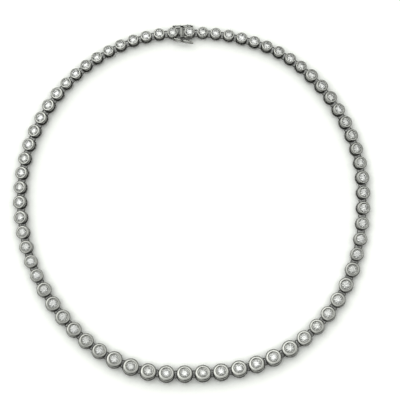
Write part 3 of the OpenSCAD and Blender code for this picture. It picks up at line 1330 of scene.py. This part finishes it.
@dataclass(frozen=True)
class Clasp:
    """The box clasp. Sizes are in millimetres.

    Its own X axis points to the tongue side, Y to the inside of the loop and Z up through the stones,
    and its origin is at the bottom, halfway between the two cups.
    """

    pitch: float = 6.5
    cup: Collet = Collet(radius=2.05, height=2.7, girdle=2.412)
    # The stop plate and the box
    plate_x: Pair = (-0.65, 0.35)
    plate_h: float = 2.3
    half_w: float = 2.1
    box_x: Pair = (-4.0, -1.25)
    box_h: float = 1.9
    wall: float = 0.2
    filed: float = 0.12
    # The slot in the box and the folded leaf in it, with a gap all round
    slot_x: float = -3.7
    slot_y: float = 1.55
    slot_h: float = 0.7
    mouth: float = 0.25
    gap: float = 0.12
    leaf: float = 0.18
    leaf_end: float = 0.3
    fold_steps: int = 8
    # The bore below the box's stone
    bore: float = 1.35
    bore_roof: float = 0.5
    # The neck from the stop plate to the tongue's cup
    neck_y: float = 0.45
    neck_z: Pair = (0.1, 1.0)
    neck_in: float = 1.5
    neck_filed: float = 0.06
    # The hinge tubes and their arms, which stop short of the bores
    hinge: Spot = (2.75, 2.58, 1.5)
    hinge_r: float = 0.45
    hinge_bore: float = 0.3
    hinge_h: float = 0.9
    tube_round: float = 0.08
    tube_round_in: float = 0.05
    tube_sides: int = 32
    arm: float = 0.2
    arm_z: Pair = (0.02, 0.42)
    arm_in: float = 0.3
    arm_off: float = 0.05
    arm_filed: float = 0.04
    # The pegs that the catches close over
    peg: Spot = (-2.6, 3.0, 1.5)
    peg_r: float = 0.21
    peg_ball: float = 0.38
    peg_in: float = 0.25
    peg_sides: int = 20
    # How far open the inner catch lies, in degrees, and how much grime the flats hold
    inner_open: float = 14.0
    plate_grime: float = 0.5
    box_grime: float = 0.3

    def matrix(self) -> Matrix:
        """Works out where the clasp stands from the hinges of its two catches.

        Returns:
            The move from the clasp's own axes to the frame's.
        """
        hinges = {joint["child"]: joint for joint in frame["joints"]}
        outer, inner = hinges[Body.OUTER.value], hinges[Body.INNER.value]
        across = Vector(inner["pos_m"]) - Vector(outer["pos_m"])
        up = Vector(outer["axis"])
        middle = (Vector(inner["pos_m"]) + Vector(outer["pos_m"])) / 2
        x, _, z = self.hinge
        stand = Place(middle, across.cross(up), up)
        return stand.matrix() @ Matrix.Translation((-x, 0, -z))

    def at_cup(self, side: int) -> Matrix:
        """Gives the move to the cup of one side: 1 for the tongue's and -1 for the box's."""
        return Matrix.Translation((side * self.pitch / 2, 0, 0))

    def hinge_tube(self, side: int) -> Part:
        """Turns a hinge tube and files the arm that holds it.

        Args:
            side: 1 for the inner tube, -1 for the outer one.

        Returns:
            The tube and its arm.
        """
        x, y, z = self.hinge
        half = self.hinge_h / 2
        ring = plain_ring(self.hinge_bore, self.hinge_r, (-half, half), self.tube_round_in,
                          self.tube_round)
        tube = turned(ring, self.tube_sides).shifted(x, side * y, z)
        low, high = self.arm_z
        ends = self.cup.radius - self.arm_in, y - self.hinge_bore - self.arm_off
        start, end = sorted(side * reach for reach in ends)
        arm = bar((x - self.arm, x + self.arm), (start, end), (z + low, z + high), self.arm_filed)
        return soldered(tube, arm)

    def folded_leaf(self) -> Part:
        """Folds the tongue's leaf back on itself, with its two ends in the stop plate.

        Returns:
            The leaf.
        """
        low = self.wall + self.gap
        high = low + (self.slot_h - 2 * self.gap)
        root, half_w = sum(self.plate_x) / 2, self.slot_y - self.gap
        radius, middle = (high - low) / 2, (low + high) / 2
        bend = self.slot_x + self.leaf_end + radius
        outer = arc((bend, middle), radius, 90, 180, self.fold_steps)
        inner = arc((bend, middle), radius - self.leaf, 270, -180, self.fold_steps)
        outline = [(root, high)] + outer + [(root, low), (root, low + self.leaf)] + inner
        outline.append((root, high - self.leaf))
        bm = bmesh.new()
        sides = [[bm.verts.new((x, y, z)) for x, z in outline] for y in (-half_w, half_w)]
        count = len(outline)
        for k in range(count):
            after = (k + 1) % count
            bm.faces.new((sides[0][k], sides[0][after], sides[1][after], sides[1][k]))
        for side in sides:
            bm.faces.new(side)
        bmesh.ops.recalc_face_normals(bm, faces=bm.faces)
        return Part.from_bmesh(bm)

    def tongue(self) -> Part:
        """Makes the tongue: its cup, stop plate, neck, folded leaf and hinge tubes.

        Returns:
            The tongue, in the clasp's axes.
        """
        middle = sum(self.plate_x) / 2
        plate = bar(self.plate_x, (-self.half_w, self.half_w), (0, self.plate_h), self.filed)
        neck = bar((middle, self.pitch / 2 - self.neck_in), (-self.neck_y, self.neck_y), self.neck_z,
                   self.neck_filed)
        cup = self.cup.cup()[0].moved(self.at_cup(1))
        return soldered(cup, neck, plate, self.folded_leaf(), self.hinge_tube(1), self.hinge_tube(-1))

    def pegs(self) -> list[Part]:
        """Turns the two ball pegs.

        Returns:
            The pins and their balls.
        """
        x, y, z = self.peg
        root = self.half_w - self.peg_in
        made = []
        for side in (1, -1):
            pin = rod(self.peg_r, y - root, self.peg_sides).moved(spin("X", -90 * side))
            made += [pin.shifted(x, side * root, z), ball(self.peg_ball).shifted(x, side * y, z)]
        return made

    def box(self) -> Part:
        """Makes the box: its cup and pegs, with the slot for the tongue cut through.

        Returns:
            The box, in the clasp's axes.
        """
        shell = bar(self.box_x, (-self.half_w, self.half_w), (0, self.box_h), self.filed)
        cup = self.cup.cup()[0].moved(self.at_cup(-1))
        solid = soldered(cup, shell, *self.pegs())
        slot = bar((self.slot_x, self.box_x[1] + self.mouth), (-self.slot_y, self.slot_y),
                   (self.wall, self.wall + self.slot_h), 0)
        bore = rod(self.bore, self.box_h - self.bore_roof, self.cup.sides, 0)
        bore = bore.shifted(-self.pitch / 2, 0, self.wall + self.slot_h / 2)
        return joined(joined(solid, slot, Work.CUT), bore, Work.CUT)

    def grime(self, points: np.ndarray, side: int) -> np.ndarray:
        """Says how dark each point is painted: grime on the flats, and painted shade in the slot, round
        the hinge bores and the peg roots, along the neck and in the cups.

        Args:
            points: Points in the clasp's axes.
            side: 1 for the tongue, -1 for the box.

        Returns:
            A value from 0, clean, to 1 at each point.
        """
        own = points - (side * self.pitch / 2, 0, 0)
        near = np.hypot(own[:, 0], own[:, 1]) < self.cup.radius + 0.01
        x, y, z = points[:, 0], np.abs(points[:, 1]), points[:, 2]
        # Painted shade inside the slot for the tongue
        in_slot = (y < self.slot_y + 0.02) * (z < self.wall + self.slot_h + 0.02)
        slot = 0.9 * (x < self.box_x[1] + 0.02) * in_slot
        # Painted shade round the hinge bores and the roots of the pegs
        to_hinge = np.hypot(x - self.hinge[0], y - self.hinge[1])
        hinge = eased(to_hinge, self.hinge_bore + 0.12, self.hinge_bore)
        to_peg = np.hypot(x - self.peg[0], z - self.peg[2])
        peg = eased(to_peg, self.peg_r + 0.15, self.peg_r) * eased(y, self.half_w + 0.05, self.half_w)
        # Grime on the flats, and painted shade along the neck between the stop plate and the tongue's
        # cup
        start, end = self.plate_x[0] - 0.01, self.plate_x[1] + 0.01
        flat = np.where((x > start) * (x < end), self.plate_grime, self.box_grime)
        neck = 0.9 * (x > end) * (y < self.neck_y + 0.01)
        darkened = np.where(near, self.cup.grime(own), np.maximum(flat, neck))
        return np.clip(np.maximum.reduce([darkened, slot, hinge, 0.7 * peg]), 0, 1)

    def build(self, cast: bpy.types.Material, wire: bpy.types.Material) -> None:
        """Builds the tongue, the box and both catches.

        Args:
            cast: The finish of the tongue and box.
            wire: The finish of the catches.
        """
        stand = self.matrix()
        for part, node, side in ((self.tongue(), "clasp_tongue", 1), (self.box(), "clasp_box", -1)):
            piece = Piece(node.replace("clasp", "cast"), Body.NECKLACE, Slot.CAST, (node,))
            piece.make(part.moved(stand), {GRIME_AND_SHADE: self.grime(part.points, side)}, cast)
        x, y, z = self.hinge
        outer = Matrix.Translation((x, -y, z))
        inner = Matrix.Translation((x, y, z)) @ spin("Z", -self.inner_open)
        Catch("outer_eight", Body.OUTER).build(stand @ outer, wire)
        Catch("inner_eight", Body.INNER).build(stand @ inner, wire)


# Studio


@dataclass(frozen=True)
class Panel:
    """A soft white panel of the tent round the necklace. Its bearing and height are in degrees."""

    bearing: float
    height: float
    light: float

    def way(self) -> Spot:
        """Gives the direction in which the panel hangs."""
        bearing, height = math.radians(self.bearing), math.radians(self.height)
        return (math.cos(height) * math.cos(bearing), math.cos(height) * math.sin(bearing),
                math.sin(height))


@dataclass(frozen=True)
class Studio:
    """The floor, the tent of soft light and the camera.

    Sizes are in metres, but for the lens and the sensor, which are in millimetres.
    """

    aim: Spot = (0.003141, -0.001511, 0.0)
    distance: float = 0.56
    tilt: float = 7.0
    lens: float = 129.77
    sensor: float = 36.0
    nearest: float = 0.01
    floor_size: float = 6.0
    panels: tuple[Panel, ...] = (
        Panel(90, 84, 0.55), Panel(0, 64, 1.0), Panel(120, 64, 0.9), Panel(180, 64, 0.5),
        Panel(225, 64, 0.8), Panel(300, 64, 0.6), Panel(0, 40, 1.1), Panel(40, 40, 1.2),
        Panel(80, 40, 1.8), Panel(120, 40, 1.9), Panel(160, 40, 2.0), Panel(200, 40, 0.8),
        Panel(240, 40, 1.1))
    softness: float = 14
    backdrop: float = 1.5
    backdrop_fade: float = 7
    tint: Colour = (0.985, 1.0, 0.98)
    contrast: float = 0.66

    def floor(self, paper: bpy.types.Material) -> None:
        """Lays the floor under the necklace, at the height that it rests on.

        Args:
            paper: Its finish.
        """
        half = self.floor_size / 2
        corners = [(-half, -half, 0), (half, -half, 0), (half, half, 0), (-half, half, 0)]
        mesh = bpy.data.meshes.new("floor")
        mesh.from_pydata(corners, [], [(0, 1, 2, 3)])
        mesh.materials.append(paper)
        item = bpy.data.objects.new("floor", mesh)
        item.location.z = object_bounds()[0][2]
        bpy.context.scene.collection.objects.link(item)
        item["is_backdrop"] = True

    def tent(self) -> None:
        """Lights the room with the pale backdrop and the panels, which all fade out softly."""
        world = bpy.data.worlds.new("tent")
        world.use_nodes = True
        bpy.context.scene.world = world
        g = Graph(world.node_tree)
        way = g.add("TexCoord").outputs["Generated"]
        rise = g.maths("ABSOLUTE", g.add("SeparateXYZ", Vector=way).outputs["Z"])
        low = g.maths("POWER", g.maths("SUBTRACT", 1.0, rise), self.backdrop_fade)
        light = g.maths("MULTIPLY", low, self.backdrop)
        for panel in self.panels:
            near = g.add("VectorMath", operation="DOT_PRODUCT")
            g.feed(near.inputs[0], way)
            g.feed(near.inputs[1], panel.way())
            ahead = g.maths("MAXIMUM", near.outputs["Value"], 0.0)
            faded = g.maths("POWER", ahead, self.softness)
            light = g.maths("MULTIPLY_ADD", faded, panel.light, light)
        back = world.node_tree.nodes["Background"]
        back.inputs["Color"].default_value = (*self.tint, 1)
        g.feed(back.inputs["Strength"], light)

    def camera(self) -> None:
        """Sets the camera over the necklace, tilted a little towards its front."""
        camera = bpy.data.cameras.new("camera")
        camera.lens = self.lens
        camera.sensor_width = self.sensor
        camera.dof.use_dof = False
        camera.clip_start = self.nearest
        item = bpy.data.objects.new("camera", camera)
        tilt = math.radians(self.tilt)
        back = Vector((0, -math.sin(tilt), math.cos(tilt)))
        item.location = Vector(self.aim) + back * self.distance
        item.rotation_euler = (tilt, 0, 0)
        bpy.context.scene.collection.objects.link(item)
        bpy.context.scene.camera = item

    def build(self, paper: bpy.types.Material) -> None:
        """Sets up the whole studio.

        Args:
            paper: The finish of the floor.
        """
        self.floor(paper)
        self.tent()
        self.camera()
        view = bpy.context.scene.view_settings
        view.view_transform = "Standard"
        view.gamma = self.contrast
        log.info("studio: %d panels", len(self.panels))


def main() -> None:
    """Builds the necklace and its studio."""
    logging.basicConfig(level=logging.INFO, format="%(name)s: %(message)s")
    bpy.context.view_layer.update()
    cast = WhiteGold("white_gold_cast").material()
    wire = WhiteGold("white_gold_drawn", polish=0.08, grain=1400.0).material()
    clear = Diamond("clear_diamond").material()
    Strings(Loop(), cast, wire, clear).build()
    Clasp().build(cast, wire)
    Studio().build(Paper("matt_paper").material())


if __name__ == "__main__":
    main()
